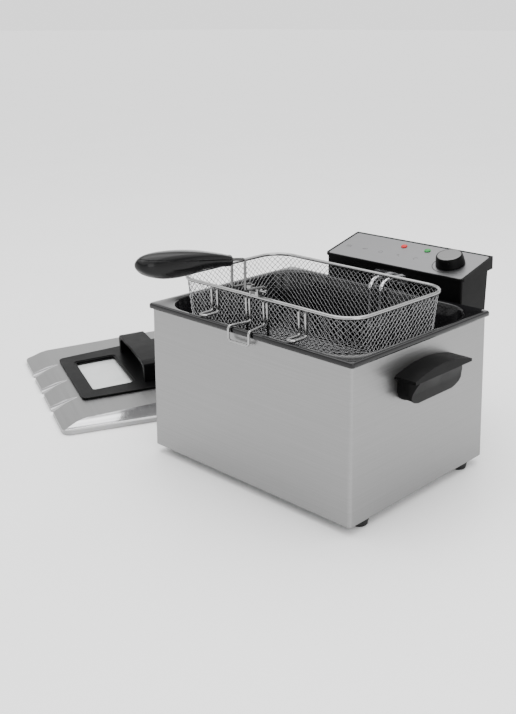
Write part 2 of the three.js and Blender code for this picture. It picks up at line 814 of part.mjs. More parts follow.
function thermostat() {
  const pot = box(KNOB_X - 17, KNOB_X + 17, KNOB_S - 15, KNOB_S + 15, -30, -13);
  const collar = cylinder('z', 5.8, -14, -6, KNOB_X, KNOB_S, 18);
  const bore = cylinder('z', SHAFT_BORE, -18, -4, KNOB_X, KNOB_S, 16);
  return onPanel(cut(join(pot, collar), bore));
}

function headSection(inset) {
  const back = (z) => 218.4 - (234 - z) * 0.081;
  const y0 = HEAD_FRONT + inset;
  const low = HEAD_BOTTOM + inset;
  const top = inset > 0 ? 244 : null;
  const zFront = top ?? lipZ(y0) - GAP;
  const zBack = top ?? lipZ(218.4) - GAP;
  return outline([
    [y0, low + 4], [y0 + 4, low], [back(low) - inset - 4, low], [back(low + 4) - inset, low + 4],
    [back(zBack) - inset, zBack], [y0, zFront],
  ]);
}

function headCase() {
  const outer = alongX(headSection(0), -HEAD_CASE_X, HEAD_CASE_X);
  const inner = alongX(headSection(HEAD_WALL), -HEAD_CASE_X + HEAD_WALL, HEAD_CASE_X - HEAD_WALL);
  const planView = plate(-HEAD_CASE_X, HEAD_CASE_X, HEAD_FRONT, 222, 90, 260, 3, 3);
  let body = cut(outer.intersect(planView), inner);
  for (const x of [-LEG_X, LEG_X]) {
    body = cut(body, cylinder('y', ELEMENT_R + 0.5, 150, 160, x, LEG_Z, 14));
  }
  body = cut(
    body,
    cylinder('y', 1.6, 150, 160, 0, LEG_Z, 10),
    cylinder('y', 4.4, 205, 225, RESET_X, RESET_Z, 18),
    cylinder('y', 5.2, 200, 220, GLAND_X, GLAND_Z, 18),
  );
  for (const x of PLATE_SCREWS) {
    body = cut(body, cylinder('y', 1.7, 150, 160, x, PLATE_SCREW_Z, 10));
  }
  return body;
}

function hangPlate() {
  let body = join(
    box(-56.4, 56.4, 140, 145.6, 120.8, 188),
    box(-50, 50, 145, HEAD_FRONT - GAP, 120.8, 188),
  );
  const pocket = box(-44, 44, 143, 152.2, 118, 184);
  body = cut(body, pocket);
  for (const x of PLATE_SCREWS) {
    body = cut(body, cylinder('y', 1.7, 150, 158, x, PLATE_SCREW_Z, 10));
  }
  return body;
}

function elementFlange() {
  let body = alongY(roundedOutline(-28, 28, 204.5, 224.5, 5, 4), 152.2, HEAD_FRONT - GAP);
  for (const x of [-LEG_X, LEG_X]) {
    body = cut(body, cylinder('y', ELEMENT_R + 0.5, 150, 158, x, LEG_Z, 14));
  }
  return cut(body, cylinder('y', 1.6, 150, 158, 0, LEG_Z, 10));
}

function heatingElement() {
  const side = [
    at(LEG_X, 172, LEG_Z), at(LEG_X, LEG_Y, LEG_Z), at(LEG_X, LEG_Y, LOOP_Z), at(LEG_X, 62, LOOP_Z),
    at(128, 62, LOOP_Z), at(128, -92, LOOP_Z), at(42, -92, LOOP_Z), at(42, 20, LOOP_Z),
  ];
  return wire(bend(mirrored(side), 14, 3), ELEMENT_R, 8);
}

function thermostatBulb() {
  const line = [at(0, 168, LEG_Z), at(0, LEG_Y, LEG_Z), at(0, LEG_Y, 88), at(0, 96, 88)];
  const capillary = wire(bend(line, 10, 4), 1.1, 8);
  return join(capillary, cylinder('y', 2.8, 10, 97, 0, 88, 12));
}

function legBrace() {
  let body = plate(-15, 15, LEG_Y - 5, LEG_Y + 4.4, 150, 151.6, 2.5, 2);
  for (const x of [-LEG_X, LEG_X]) {
    body = cut(body, cylinder('z', ELEMENT_R + 0.5, 145, 155, x, LEG_Y, 14));
  }
  return cut(body, cylinder('z', 1.6, 145, 155, 0, LEG_Y, 10));
}

function thermalCutout() {
  return box(RESET_X - 11, RESET_X + 11, 176, 205.2, RESET_Z - 9, RESET_Z + 9);
}

function resetButton() {
  const back = 218.4 - (234 - RESET_Z) * 0.081;
  return join(
    cylinder('y', 4, 209.4, back + 2.2, RESET_X, RESET_Z, 18),
    cylinder('y', 5.4, 208.6, 210.2, RESET_X, RESET_Z, 18),
  );
}

function cordGland() {
  const back = 218.4 - (234 - GLAND_Z) * 0.081;
  const body = join(
    cylinder('y', 8, back + 0.9, back + 7, GLAND_X, GLAND_Z, 20),
    cylinder('y', 4.9, 199, back + 2, GLAND_X, GLAND_Z, 20),
  );
  return cut(body, cylinder('y', 3.2, 190, 230, GLAND_X, GLAND_Z, 16));
}

function plateScrew(x) {
  const seat = HEAD_FRONT + HEAD_WALL + GAP;
  const shank = cylinder('y', 1.2, 153, seat + 1, x, PLATE_SCREW_Z, 8);
  const head = cylinder('y', 3, seat, seat + 2, x, PLATE_SCREW_Z, 8);
  return join(shank, head);
}

add('head_case', headCase(), blackPlastic());
add('head_cover', headCover(), blackPlastic());
add('panel_plate', panelPlate(), panelSteel());
add('power_light', lamp(LIGHT_XS[0]), material(0xc4141a, 0.2, 0.0));
add('ready_light', lamp(LIGHT_XS[1]), material(0x15a02c, 0.2, 0.0));
add('knob_body', knobBody(), blackPlastic());
add('knob_cap', knobCap(), brushedSteel());
add('thermostat_shaft', shaft(), zincSteel());
add('thermostat', thermostat(), innerPlastic());
add('thermal_cutout', thermalCutout(), innerPlastic());
add('reset_button', resetButton(), material(0xa01712, 0.4, 0.0));
add('terminal_block', box(20, 62, 172, 190, 128, 142), innerPlastic());
add('safety_switch', box(-30, -8, 160, 172, 150, 166), innerPlastic());
add('cord_gland', cordGland(), rubber());
add('hang_plate', hangPlate(), blackPlastic());
add('hang_screw_left', plateScrew(PLATE_SCREWS[0]), zincSteel());
add('hang_screw_right', plateScrew(PLATE_SCREWS[1]), zincSteel());
add('element_flange', elementFlange(), polishedSteel());
add('heating_element', heatingElement(), polishedSteel());
add('thermostat_bulb', thermostatBulb(), zincSteel());
add('leg_brace', legBrace(), polishedSteel());

// ---------------------------------------------------------------- lid

// The lid is built with its vented edge along X at y = 0, then turned on the table.
function onTable(body) {
  return body.rotate([0, 0, THREE.MathUtils.radToDeg(LID_TURN)]).translate([LID_X, LID_Y, 0]);
}

function crownZ(y) {
  return CROWN_Z + (y - CROWN_Y) * Math.tan(CROWN_TILT);
}

// Moves a body built flat on z = 0 up onto the sloping crown.
function onCrown(body) {
  return body.rotate([THREE.MathUtils.radToDeg(CROWN_TILT), 0, 0]).translate([0, CROWN_Y, CROWN_Z]);
}

const FLUTES = [-78, 0, 78];

function flutes(extra) {
  const cones = [];
  for (const x of FLUTES) {
    const geometry = new THREE.CylinderGeometry(0.8 + extra, 12.6 + extra, 46, 16);
    geometry.translate(0, 23, 0);
    geometry.rotateX(THREE.MathUtils.degToRad(14));
    geometry.translate(x, -4, 9.3);
    cones.push(solid(geometry));
  }
  return join(...cones);
}

function lidForm(inset) {
  const w = LID_W / 2;
  const d = LID_D;
  const t = inset;
  const front = [[CROWN_Y, CROWN_Z - t], [22, 15.6 - t], [5 + t, LID_RIM + 2 - t], [t, LID_RIM - t]];
  const back = [
    [d - t, LID_RIM - t], [d - 5 - t, LID_RIM + 1 - t],
    [d - 9 - t, 12 - t], [d - 11 - t, crownZ(d - 11) - t],
  ];
  const long = alongX(outline([[t, -t], [d - t, -t], ...back, ...front]), -w, w);
  const right = [
    [w - t, -t], [w - t, LID_RIM - t], [w - 4.6 - t, LID_RIM + 0.8 - t],
    [w - 8 - t, 12 - t], [w - 10 - t, 20 - t], [w - 11 - t, 60],
  ];
  const left = right.map(([x, z]) => [-x, z]).reverse();
  const cross = alongY(outline([...right, ...left]), -2, d + 2);
  const planView = plate(-w + t, w - t, t, d - t, -3, 70, 13 - t, 5);
  return long.intersect(cross).intersect(planView);
}

function lidShell() {
  const outer = cut(lidForm(0), flutes(0));
  const inner = cut(lidForm(LID_SHEET), flutes(LID_SHEET));
  const glassHole = onCrown(plate(-70, 70, 27, 97, -12, 12, 6, 4));
  const ventHole = onCrown(plate(-84, 84, 158, 190, -12, 12, 6, 4));
  let body = cut(outer, inner, glassHole, ventHole);
  for (const x of [-74, 74]) {
    body = cut(body, onCrown(cylinder('z', 1.9, -6, 6, x, 128, 10)));
  }
  return onTable(body);
}

const FRAME_LIFT = GAP;

function frameOutline(grow) {
  const points = [];
  const corners = [
    [112, 199, 12], [-112, 199, 12], [-97, 9, 9], [97, 9, 9],
  ];
  corners.forEach(([x, y, r], i) => {
    const inX = x - Math.sign(x) * (r - grow);
    const inY = i < 2 ? y - (r - grow) : y + (r - grow);
    const from = [0, 90, 180, 270][i];
    for (let k = 0; k <= 5; k += 1) {
      const angle = THREE.MathUtils.degToRad(from + 18 * k);
      points.push(new THREE.Vector2(inX + r * Math.cos(angle), inY + r * Math.sin(angle)));
    }
  });
  return points;
}

function lidFrame() {
  const low = FRAME_LIFT;
  const high = FRAME_LIFT + FRAME_T;
  let body = solid(extrudeZ(frameOutline(0), low, high));
  const window = plate(-66, 66, 31, 93, low - 2, high + 2, 5, 4);
  const chamfer = plate(-69, 69, 28, 96, high - 1, high + 2, 7, 4);
  body = cut(body, window, chamfer);
  for (let i = -3; i <= 3; i += 1) {
    body = cut(body, plate(i * 20 - 4, i * 20 + 4, 162, 186, low - 2, high + 2, 3.8, 2));
  }
  for (const x of [-74, 74]) {
    body = cut(body, cylinder('z', 1.9, low - 2, high + 2, x, 128, 10));
  }
  return onTable(onCrown(body));
}

function lidHandle() {
  const base = FRAME_LIFT + FRAME_T + GAP;
  const y0 = 108;
  const y1 = 148;
  const half = 80;
  const top = 33.5;
  const bothSides = (right, middle) => {
    const left = right.map(([x, z]) => [-x, z]).reverse();
    return outline([...right, middle, ...left]).reverse();
  };
  const outer = bothSides([
    [half, base], [half, top - 8], [half - 2.5, top - 3], [half - 8, top - 0.4], [half - 16, top + 0.4],
  ], [0, top + 1.6]);
  const inner = bothSides([
    [half - 11, base - 3], [half - 9, top - 11], [half - 15, top - 6.4], [half - 24, top - 5],
  ], [0, top - 4]);
  let body = cut(alongY(outer, y0, y1), alongY(inner, y0 - 2, y1 + 2));
  for (const x of [-74, 74]) {
    body = cut(body, cylinder('z', 1.5, base - 2, base + 12, x, 128, 10));
  }
  return onTable(onCrown(body));
}

function lidScrew(x) {
  const under = -LID_SHEET - GAP;
  const head = cylinder('z', 3.4, under - 2, under, x, 128, 8);
  const shank = cylinder('z', 1.2, under - 1, 13, x, 128, 8);
  return onTable(onCrown(join(head, shank)));
}

function windowGasket() {
  const low = -LID_SHEET - GAP - 2;
  const ring = cut(
    plate(-76, 76, 21, 103, low, -LID_SHEET - GAP, 7, 4),
    plate(-67.5, 67.5, 29.5, 94.5, low - 1, 2, 5, 4),
  );
  return onTable(onCrown(ring));
}

function windowPane() {
  const top = -LID_SHEET - GAP - 2 - GAP;
  return onTable(onCrown(plate(-75, 75, 22, 102, top - 3, top, 6, 4)));
}

function filterPad() {
  const top = -LID_SHEET - GAP;
  return onTable(onCrown(plate(-88, 88, 155, 194, top - 6, top, 5, 4)));
}

function filterGrid() {
  const top = -LID_SHEET - GAP - 6 - GAP;
  let body = plate(-92, 92, 151, 198, top - 1.2, top, 6, 4);
  for (let i = -5; i <= 5; i += 1) {
    body = cut(body, box(i * 15 - 4, i * 15 + 4, 160, 189, top - 4, top + 2));
  }
  return onTable(onCrown(body));
}

add('lid_shell', lidShell(), brushedSteel());
add('lid_frame', lidFrame(), blackPlastic());
add('lid_window', windowPane(), material(0xdfe6e6, 0.05, 0.0));
add('window_gasket', windowGasket(), rubber());
add('lid_handle', lidHandle(), blackPlastic());
add('lid_screw_left', lidScrew(-74), zincSteel());
add('lid_screw_right', lidScrew(74), zincSteel());
add('filter_pad', filterPad(), material(0x3b3b3a, 0.95, 0.0));
add('filter_grid', filterGrid(), zincSteel());

// ---------------------------------------------------------------- origin

// The origin of the finished group is the middle of its footprint on the table.
const extent = new THREE.Box3().setFromObject(group);
const shiftX = -(extent.min.x + extent.max.x) / 2;
const shiftY = -(extent.min.y + extent.max.y) / 2;
const shiftZ = -extent.min.z;
for (const mesh of group.children) {
  mesh.geometry.translate(shiftX, shiftY, shiftZ);
}

export default group;
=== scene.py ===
# %% [markdown]
# # A household deep fryer
# The solid parts of the fryer arrive as a finished frame: the steel casing, the oil pan, the
# control head, the basket's wires and the lid. This lesson dresses that frame. Each part gets
# the finish of its real material, and the pieces that need finer work than a machinist's model
# are made again here: the woven basket, the pan with its rounded mouth and the moulded grip.

# %% Load the frame
import json
import math

import bmesh
import bpy
from mathutils import Matrix, Vector

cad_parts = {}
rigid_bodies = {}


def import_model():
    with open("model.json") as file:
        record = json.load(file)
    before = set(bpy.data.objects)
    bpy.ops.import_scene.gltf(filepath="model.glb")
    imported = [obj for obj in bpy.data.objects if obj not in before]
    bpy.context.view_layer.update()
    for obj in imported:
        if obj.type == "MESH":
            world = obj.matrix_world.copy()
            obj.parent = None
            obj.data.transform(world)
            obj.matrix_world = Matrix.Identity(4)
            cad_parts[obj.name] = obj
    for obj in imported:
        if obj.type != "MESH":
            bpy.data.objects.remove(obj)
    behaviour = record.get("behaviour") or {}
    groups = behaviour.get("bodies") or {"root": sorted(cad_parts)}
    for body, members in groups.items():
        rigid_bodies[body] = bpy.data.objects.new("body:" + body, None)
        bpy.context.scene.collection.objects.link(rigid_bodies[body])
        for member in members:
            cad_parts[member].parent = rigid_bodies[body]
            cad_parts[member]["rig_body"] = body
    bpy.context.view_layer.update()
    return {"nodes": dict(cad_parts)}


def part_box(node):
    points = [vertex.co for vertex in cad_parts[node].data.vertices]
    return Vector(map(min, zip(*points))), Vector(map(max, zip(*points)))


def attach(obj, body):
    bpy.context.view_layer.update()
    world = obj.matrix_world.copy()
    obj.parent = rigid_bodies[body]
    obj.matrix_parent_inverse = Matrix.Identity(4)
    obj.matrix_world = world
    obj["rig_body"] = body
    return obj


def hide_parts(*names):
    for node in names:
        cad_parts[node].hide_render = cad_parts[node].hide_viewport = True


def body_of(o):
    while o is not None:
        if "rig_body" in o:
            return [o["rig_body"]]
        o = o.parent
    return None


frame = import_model()

# %% [markdown]
# Everything is placed from the casing. Its middle, taken down to the table, is the fryer's own
# centre, and a small helper turns millimetres from there into a point of the frame. Working in
# millimetres keeps the numbers close to what a ruler would read on the bench.

# %% Find the middle of the casing
MM = 0.001
casing_low, casing_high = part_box("housing_shell")
centre = Vector(((casing_low.x + casing_high.x) / 2, (casing_low.y + casing_high.y) / 2, 0))


def place(x, y, z):
    return centre + Vector((x, y, z)) * MM


print("Casing is centred at", [round(v, 4) for v in centre])

# %% [markdown]
# ## Finishes
# Every finish starts from one shader, and a few small helpers add the detail. Object
# coordinates are used throughout, so a pattern is fixed to its part and travels with it.
# A helper that maps a noise onto a range is enough for wear, grain and uneven polish.

# %% Helpers for finishes
def new_finish(name, colour, metallic, roughness):
    material = bpy.data.materials.new(name)
    material.use_nodes = True
    shader = material.node_tree.nodes["Principled BSDF"]
    shader.inputs["Base Color"].default_value = (*colour, 1)
    shader.inputs["Metallic"].default_value = metallic
    shader.inputs["Roughness"].default_value = roughness
    return material, shader


def stretched_coordinates(material, stretch, turn=0.0):
    nodes, links = material.node_tree.nodes, material.node_tree.links
    source = nodes.new("ShaderNodeTexCoord")
    turned = nodes.new("ShaderNodeMapping")
    turned.inputs["Rotation"].default_value = (0, 0, turn)
    scaled = nodes.new("ShaderNodeMapping")
    scaled.inputs["Scale"].default_value = stretch
    links.new(source.outputs["Object"], turned.inputs["Vector"])
    links.new(turned.outputs["Vector"], scaled.inputs["Vector"])
    return scaled.outputs["Vector"]


def noise(material, vector, scale, detail=4.0, roughness=0.6):
    node = material.node_tree.nodes.new("ShaderNodeTexNoise")
    node.inputs["Scale"].default_value = scale
    node.inputs["Detail"].default_value = detail
    node.inputs["Roughness"].default_value = roughness
    material.node_tree.links.new(vector, node.inputs["Vector"])
    return node.outputs["Fac"]


def vary(material, factor, socket, low, high):
    node = material.node_tree.nodes.new("ShaderNodeMapRange")
    node.inputs["From Min"].default_value = 0.3
    node.inputs["From Max"].default_value = 0.7
    node.inputs["To Min"].default_value = low
    node.inputs["To Max"].default_value = high
    material.node_tree.links.new(factor, node.inputs["Value"])
    material.node_tree.links.new(node.outputs["Result"], socket)


def tint(material, factor, shader, dark, light):
    node = material.node_tree.nodes.new("ShaderNodeValToRGB")
    node.color_ramp.elements[0].position = 0.3
    node.color_ramp.elements[0].color = (*dark, 1)
    node.color_ramp.elements[1].position = 0.7
    node.color_ramp.elements[1].color = (*light, 1)
    material.node_tree.links.new(factor, node.inputs["Fac"])
    material.node_tree.links.new(node.outputs["Color"], shader.inputs["Base Color"])


def raise_surface(material, factor, shader, strength, distance):
    node = material.node_tree.nodes.new("ShaderNodeBump")
    node.inputs["Strength"].default_value = strength
    node.inputs["Distance"].default_value = distance
    material.node_tree.links.new(factor, node.inputs["Height"])
    material.node_tree.links.new(node.outputs["Normal"], shader.inputs["Normal"])


def shade(colour, amount):
    return tuple(max(0.0, min(1.0, channel * amount)) for channel in colour)


# %% [markdown]
# Brushed steel is drawn across a belt of grit, which leaves long hairlines in one direction.
# A noise that is stretched hundreds of times along the grain gives those lines, and it drives
# the colour, the roughness and a very shallow relief together, as real scratches do.

# %% Brushed and polished metals
def brushed_metal(name, colour, roughness, stretch, turn=0.0):
    material, shader = new_finish(name, colour, 1.0, roughness)
    grain = noise(material, stretched_coordinates(material, stretch, turn), 1.0, 6.0, 0.7)
    tint(material, grain, shader, shade(colour, 0.90), shade(colour, 1.06))
    vary(material, grain, shader.inputs["Roughness"], roughness - 0.05, roughness + 0.07)
    raise_surface(material, grain, shader, 0.05, 0.00002)
    return material


def polished_metal(name, colour, roughness, grain_scale=220.0):
    material, shader = new_finish(name, colour, 1.0, roughness)
    haze = noise(material, stretched_coordinates(material, (1, 1, 1)), grain_scale, 3.0)
    tint(material, haze, shader, shade(colour, 0.93), shade(colour, 1.05))
    vary(material, haze, shader.inputs["Roughness"], roughness * 0.7, roughness * 1.5)
    return material


def plated_metal(name, colour, roughness):
    material, shader = new_finish(name, colour, 1.0, roughness)
    nodes, links = material.node_tree.nodes, material.node_tree.links
    crystals = nodes.new("ShaderNodeTexVoronoi")
    crystals.inputs["Scale"].default_value = 160
    links.new(stretched_coordinates(material, (1, 1, 1)), crystals.inputs["Vector"])
    tint(material, crystals.outputs["Distance"], shader, shade(colour, 0.9), shade(colour, 1.08))
    roughness_socket = shader.inputs["Roughness"]
    vary(material, crystals.outputs["Distance"], roughness_socket, roughness, roughness + 0.12)
    return material


LID_TURN = math.radians(-23.4)
casing_steel = brushed_metal("casing brushed steel", (0.26, 0.26, 0.26), 0.36, (6, 6, 1100))
panel_steel = brushed_metal("panel brushed steel", (0.23, 0.23, 0.235), 0.38, (6, 1100, 1100))
cap_steel = brushed_metal("knob cap steel", (0.20, 0.20, 0.20), 0.32, (10, 1500, 1500))
lid_steel = brushed_metal("lid brushed steel", (0.31, 0.31, 0.31), 0.34, (6, 900, 900), -LID_TURN)
bright_steel = polished_metal("element bright steel", (0.60, 0.60, 0.61), 0.12)
drawn_wire = polished_metal("drawn chrome wire", (0.32, 0.32, 0.32), 0.16)
woven_wire = polished_metal("woven chrome wire", (0.25, 0.25, 0.255), 0.22)
# The handle wire is the same chrome as the other wires. Its far darker colour is painted dark
# reflection, standing in for the dark surroundings it mirrors; the thermostat bulb shares it.
chrome_wire_painted_dark = polished_metal("chrome wire painted dark", (0.13, 0.13, 0.13), 0.14)
zinc = plated_metal("zinc plate", (0.58, 0.59, 0.60), 0.34)
print("Metals ready")

# %% [markdown]
# The plastics differ mostly in their skin. The satin mouldings carry a fine spark-eroded grain
# from the tool, the grip was moulded against polished steel, and the enamel of the pan is glass
# fused to the metal, so it has a clear coat and the faint ripple known as orange peel.

# %% Plastics, enamel and rubber
def moulded(name, colour, roughness, grain_size, relief, sheen=0.5):
    material, shader = new_finish(name, colour, 0.0, roughness)
    shader.inputs["Specular IOR Level"].default_value = sheen
    vector = stretched_coordinates(material, (1, 1, 1))
    cloud = noise(material, vector, 30.0, 2.0)
    grain = noise(material, vector, grain_size, 3.0)
    tint(material, cloud, shader, shade(colour, 0.85), shade(colour, 1.2))
    vary(material, cloud, shader.inputs["Roughness"], roughness * 0.88, roughness * 1.12)
    raise_surface(material, grain, shader, relief, 0.0001)
    return material


def lens(name, colour):
    material, shader = new_finish(name, colour, 0.0, 0.12)
    facets = noise(material, stretched_coordinates(material, (1, 1, 1)), 500.0, 2.0)
    tint(material, facets, shader, shade(colour, 0.75), shade(colour, 1.15))
    shader.inputs["Specular IOR Level"].default_value = 0.25
    shader.inputs["Emission Color"].default_value = (*colour, 1)
    shader.inputs["Emission Strength"].default_value = 0.25
    return material


satin_black = moulded("satin black plastic", (0.002, 0.002, 0.0021), 0.40, 1800.0, 0.25, 0.07)
gloss_black = moulded("gloss black plastic", (0.004, 0.004, 0.0042), 0.18, 300.0, 0.04, 0.17)
cream = moulded("cream plastic", (0.68, 0.64, 0.54), 0.50, 1500.0, 0.2)
red_button = moulded("red button plastic", (0.42, 0.03, 0.02), 0.40, 1500.0, 0.2)
soft_rubber = moulded("black rubber", (0.010, 0.010, 0.010), 0.75, 900.0, 0.4, 0.3)
felt = moulded("carbon felt", (0.05, 0.05, 0.05), 0.95, 2400.0, 1.0)
ink = moulded("printed ink", (0.11, 0.11, 0.112), 0.6, 1500.0, 0.1, 0.3)
dark_ink = moulded("dark printed ink", (0.010, 0.010, 0.010), 0.5, 1500.0, 0.1, 0.3)
enamel = moulded("black enamel", (0.004, 0.004, 0.0045), 0.07, 240.0, 0.03, 0.30)
red_lens = lens("red lens", (0.42, 0.003, 0.006))
green_lens = lens("green lens", (0.003, 0.20, 0.03))
print("Plastics ready")

# %% [markdown]
# The window is a toughened pane. It would be invisible if it were perfect, so it keeps a
# slight milkiness from washing, which is also what makes a real one show against a worktop.

# %% Window glass
pane, pane_shader = new_finish("window glass", (0.86, 0.88, 0.88), 0.0, 0.08)
pane_haze = noise(pane, stretched_coordinates(pane, (1, 1, 1)), 18.0, 3.0)
tint(pane, pane_haze, pane_shader, (0.80, 0.82, 0.82), (0.90, 0.91, 0.91))
vary(pane, pane_haze, pane_shader.inputs["Roughness"], 0.05, 0.12)
pane_shader.inputs["Transmission Weight"].default_value = 0.35

# %% [markdown]
# Which part gets which finish is a plain list, because it is the first thing someone will
# want to change. A part that is left out would be caught by the count below.

# %% Give every part its finish
FINISHES = {
    casing_steel: ["housing_shell"],
    panel_steel: ["panel_plate"],
    cap_steel: ["knob_cap"],
    lid_steel: ["lid_shell"],
    bright_steel: ["heating_element", "element_flange", "leg_brace"],
    drawn_wire: [
        "basket_mesh", "basket_rim", "rest_hook_left", "rest_hook_right", "hanger_loop",
        "bracket_loop", "pivot_bracket", "pivot_pin",
    ],
    # painted dark reflection: the darkened copy of the chrome wire
    chrome_wire_painted_dark: ["handle_wire", "thermostat_bulb"],
    zinc: [
        "base_plate", "backing_strip_left", "backing_strip_right", "carry_screw_left_front",
        "carry_screw_left_back", "carry_screw_right_front", "carry_screw_right_back",
        "guide_screw_left", "guide_screw_right", "grip_screw", "thermostat_shaft",
        "hang_screw_left", "hang_screw_right", "lid_screw_left", "lid_screw_right",
        "filter_grid",
    ],
    enamel: ["oil_pan"],
    satin_black: [
        "carry_handle_left", "carry_handle_right", "head_guide", "head_case", "head_cover",
        "knob_body", "hang_plate", "lid_frame", "lid_handle",
    ],
    gloss_black: ["grip_upper", "grip_lower"],
    cream: ["thermostat", "thermal_cutout", "terminal_block", "safety_switch"],
    soft_rubber: [
        "foot_front_left", "foot_front_right", "foot_back_left", "foot_back_right",
        "cord_gland", "window_gasket",
    ],
    red_lens: ["power_light"],
    green_lens: ["ready_light"],
    red_button: ["reset_button"],
    pane: ["lid_window"],
    felt: ["filter_pad"],
}


def finish(piece, material):
    piece.data.materials.clear()
    piece.data.materials.append(material)


finished = 0
for material, names in FINISHES.items():
    for name in names:
        finish(frame["nodes"][name], material)
        finished += 1
print("Finished", finished, "of", len(frame["nodes"]), "parts")

# %% [markdown]
# ## Making pieces
# A new piece is built in place, in the frame's own coordinates, and its object stays at the
# origin. One helper turns a finished bmesh into such a piece and hangs it on its body.

# %% Helpers for pieces
def make_piece(name, bm, material, body, crease=None):
    mesh = bpy.data.meshes.new(name)
    bm.to_mesh(mesh)
    bm.free()
    for face in mesh.polygons:
        face.use_smooth = True
    if crease:
        mesh.set_sharp_from_angle(angle=math.radians(crease))
    piece = bpy.data.objects.new(name, mesh)
    bpy.context.scene.collection.objects.link(piece)
    finish(piece, material)
    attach(piece, body)
    print(name, "has", len(mesh.polygons), "faces")
    return piece


def wires_to_mesh(name, runs, radius, sides, closed=False):
    curve = bpy.data.curves.new(name, "CURVE")
    curve.dimensions = "3D"
    curve.bevel_depth = radius
    curve.bevel_resolution = sides // 2 - 2
    curve.use_fill_caps = True
    for points in runs:
        spline = curve.splines.new("POLY")
        spline.points.add(len(points) - 1)
        for point, position in zip(spline.points, points):
            point.co = (*position, 1)
        spline.use_cyclic_u = closed
    holder = bpy.data.objects.new(name, curve)
    bpy.context.scene.collection.objects.link(holder)
    bpy.context.view_layer.update()
    evaluated = holder.evaluated_get(bpy.context.evaluated_depsgraph_get())
    mesh = bpy.data.meshes.new_from_object(evaluated)
    bpy.data.objects.remove(holder)
    bpy.data.curves.remove(curve)
    bm = bmesh.new()
    bm.from_mesh(mesh)
    bpy.data.meshes.remove(mesh)
    return bm


# %% [markdown]
# ## Softer edges
# A machinist's model has knife edges, and no real casing or moulding has. Sheet steel folds
# round a radius and a plastic tool is polished at its corners, and those narrow rounds are what
# catch the light. A bevel modifier would do it too, but it would also bevel the seams between
# loose triangles. So each visible part is copied, its triangles are merged back into whole
# faces, and only its truly sharp edges are rounded.

# %% Round the edges of the visible parts
FLAT = math.radians(1.0)


def soften(node, radius, sharpest=32.0, crease=38.0, segments=3):
    """A merged copy of a part, with every outer edge sharper than an angle rounded over."""
    part = frame["nodes"][node]
    bm = bmesh.new()
    bm.from_mesh(part.data)
    bmesh.ops.remove_doubles(bm, verts=bm.verts, dist=0.01 * MM)
    bmesh.ops.dissolve_limit(bm, angle_limit=FLAT, verts=bm.verts, edges=bm.edges)
    if radius > 0:
        limit = math.radians(sharpest)
        sharp = [
            edge for edge in bm.edges
            if edge.is_manifold and edge.is_convex and edge.calc_face_angle() > limit
        ]
        bmesh.ops.bevel(
            bm, geom=sharp, offset=radius * MM, offset_type="OFFSET", segments=segments,
            profile=0.5, affect="EDGES", clamp_overlap=True, material=-1,
        )
    material = part.data.materials[0]
    piece = make_piece(node + "_soft", bm, material, body_of(part)[0], crease)
    shading = piece.modifiers.new("even shading", "WEIGHTED_NORMAL")
    shading.keep_sharp = True
    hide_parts(node)
    return piece


EDGE_ROUNDS = {
    "housing_shell": 0.6, "carry_handle_left": 1.0, "carry_handle_right": 1.0, "head_case": 1.4,
    "head_cover": 1.6, "panel_plate": 0.2, "lid_frame": 0.8, "lid_handle": 1.5, "knob_cap": 0.2,
    "hang_plate": 0.6, "head_guide": 0.6,
}
for node, radius in EDGE_ROUNDS.items():
    soften(node, radius)
print(len(EDGE_ROUNDS), "parts with rounded edges")

# %% [markdown]
# Turned parts and wires need no bevel, only smooth shading over their flats. The wires have
# eight flats, so their shading may run across a wide angle.

# %% Smooth the turned parts and the wires
TURNED = [
    "knob_body", "power_light", "ready_light", "reset_button", "cord_gland",
    "foot_front_left", "foot_front_right", "foot_back_left", "foot_back_right",
]
WIRES = [
    "basket_rim", "rest_hook_left", "rest_hook_right", "hanger_loop", "bracket_loop",
    "handle_wire", "heating_element", "thermostat_bulb", "pivot_pin",
]
for node in TURNED:
    soften(node, 0.0, crease=35.0)
for node in WIRES:
    soften(node, 0.0, crease=62.0)
print(len(TURNED), "turned parts and", len(WIRES), "wires smoothed")

# %% [markdown]
# The lid's top is brushed, but its drawn side walls keep the mirror of the press tool. The same
# softened copy therefore carries two finishes, and a face takes the bright one when it stands
# steeply enough and lies above the rolled rim, which is satin again. The bright steel is also
# about twice as light in colour as the lid's, so on these walls it is partly painted reflection.

# %% The lid's bright side walls
lid = soften("lid_shell", 0.9, sharpest=20.0)
lid.data.materials.append(bright_steel)
STEEP = 0.72
LID_RIM_TOP = 6.5
# steep faces above the rim get the lighter steel: a polished finish, partly painted reflection
for face in lid.data.polygons:
    if abs(face.normal.z) < STEEP and face.center.z > LID_RIM_TOP * MM:
        face.material_index = 1
print("Bright faces on the lid:", sum(face.material_index for face in lid.data.polygons))

# %% [markdown]
# ## The oil pan
# The pan is pressed from sheet and enamelled, so it has no sharp edge anywhere: the rim rolls
# over the casing, a flat flange leads in, and a wide soft corner turns down into the well. It
# is built as one skin from the lip to the floor, a rounded rectangle at each height, bridged in
# order. Solidify then gives the skin its thickness.

# %% Press the pan
CORNER_STEPS = 14


def ring_edges(ring):
    return [edge for vert in ring for edge in vert.link_edges if edge.verts[0] == vert]


def rounded_loop(bm, half_x, half_y, radius, z):
    ring = bmesh.ops.create_circle(bm, segments=4 * CORNER_STEPS, radius=radius)["verts"]
    bmesh.ops.rotate(bm, verts=ring, matrix=Matrix.Rotation(math.pi / CORNER_STEPS / 4, 3, "Z"))
    for vert in ring:
        x = vert.co.x + math.copysign(half_x - radius, vert.co.x)
        y = vert.co.y + math.copysign(half_y - radius, vert.co.y)
        vert.co = place(x, y, z)
    return ring_edges(ring)


def loft(bm, loops):
    for near, far in zip(loops, loops[1:]):
        bmesh.ops.bridge_loops(bm, edges=near + far)


